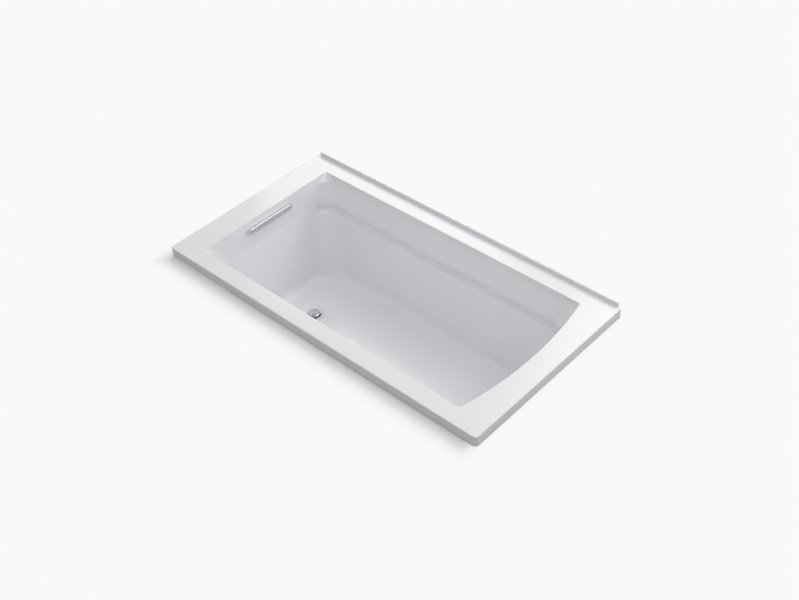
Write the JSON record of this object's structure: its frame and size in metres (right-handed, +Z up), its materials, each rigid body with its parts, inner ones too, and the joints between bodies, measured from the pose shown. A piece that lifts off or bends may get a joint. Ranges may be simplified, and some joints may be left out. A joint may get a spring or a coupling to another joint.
{
  "type": "drop-in bathtub",
  "caption": "Rectangular acrylic drop-in bath with arm-rest step, sloped backrest, tiling upstand, push-down plug and slotted overflow, on bearers and feet with its waste pipework",
  "frame": {"origin": "on the subfloor that the feet stand on, under the middle of the rim's length and width", "axes": "+X along the length from the drain end to the backrest end, +Y across from the room side to the wall side with the upstand, +Z up"},
  "size_m": [1.524, 0.813, 0.552],
  "materials": {
    "acrylic": "glossy white moulded acrylic",
    "fibreglass": "sprayed fibreglass",
    "board": "sanded board",
    "timber": "planed softwood",
    "moulded": "fine textured",
    "rubber": "matt",
    "screws": "zinc plated",
    "pipework": "smooth moulded",
    "nuts": "smooth moulded",
    "chrome": "polished",
    "brass": "machined",
    "spring": "drawn wire"
  },
  "bodies": {
    "bath": {"base_board": "board", "batten_back": "timber", "batten_backrest_end": "timber", "batten_drain_end": "timber", "batten_front": "timber", "bearer_backrest_end": "timber", "bearer_drain_end": "timber", "bearer_middle": "timber", "bearer_screws": "screws", "drain_flange": "chrome", "drain_gasket": "rubber", "drain_shoe": "pipework", "fibreglass_backing": "fibreglass", "foot_1": "moulded", "foot_2": "moulded", "foot_3": "moulded", "foot_4": "moulded", "foot_5": "moulded", "foot_6": "moulded", "foot_pads": "rubber", "foot_screws": "screws", "overflow_box": "pipework", "overflow_cover": "chrome", "overflow_gasket": "rubber", "overflow_nut": "nuts", "overflow_pipe": "pipework", "overflow_plate": "chrome", "overflow_screws": "screws", "overflow_washer": "rubber", "plug_post": "brass", "plug_spring": "spring", "shoe_nut": "nuts", "shoe_washer": "rubber", "tee_side_nut": "nuts", "tee_side_washer": "rubber", "tee_top_nut": "nuts", "tee_top_washer": "rubber", "tub_shell": "acrylic", "waste_pipe": "pipework", "waste_tee": "pipework"},
    "plug": {"plug_cap": "chrome", "plug_seal": "rubber"}
  },
  "joints": [
    {"name": "plug_press", "type": "slide", "parent": "bath", "child": "plug", "axis": [0, 0, 1], "range_m": [-0.0079, 0], "stiffness_N_per_m": 400, "springref_m": 0.005, "deforming": ["plug_spring"]}
  ]
}
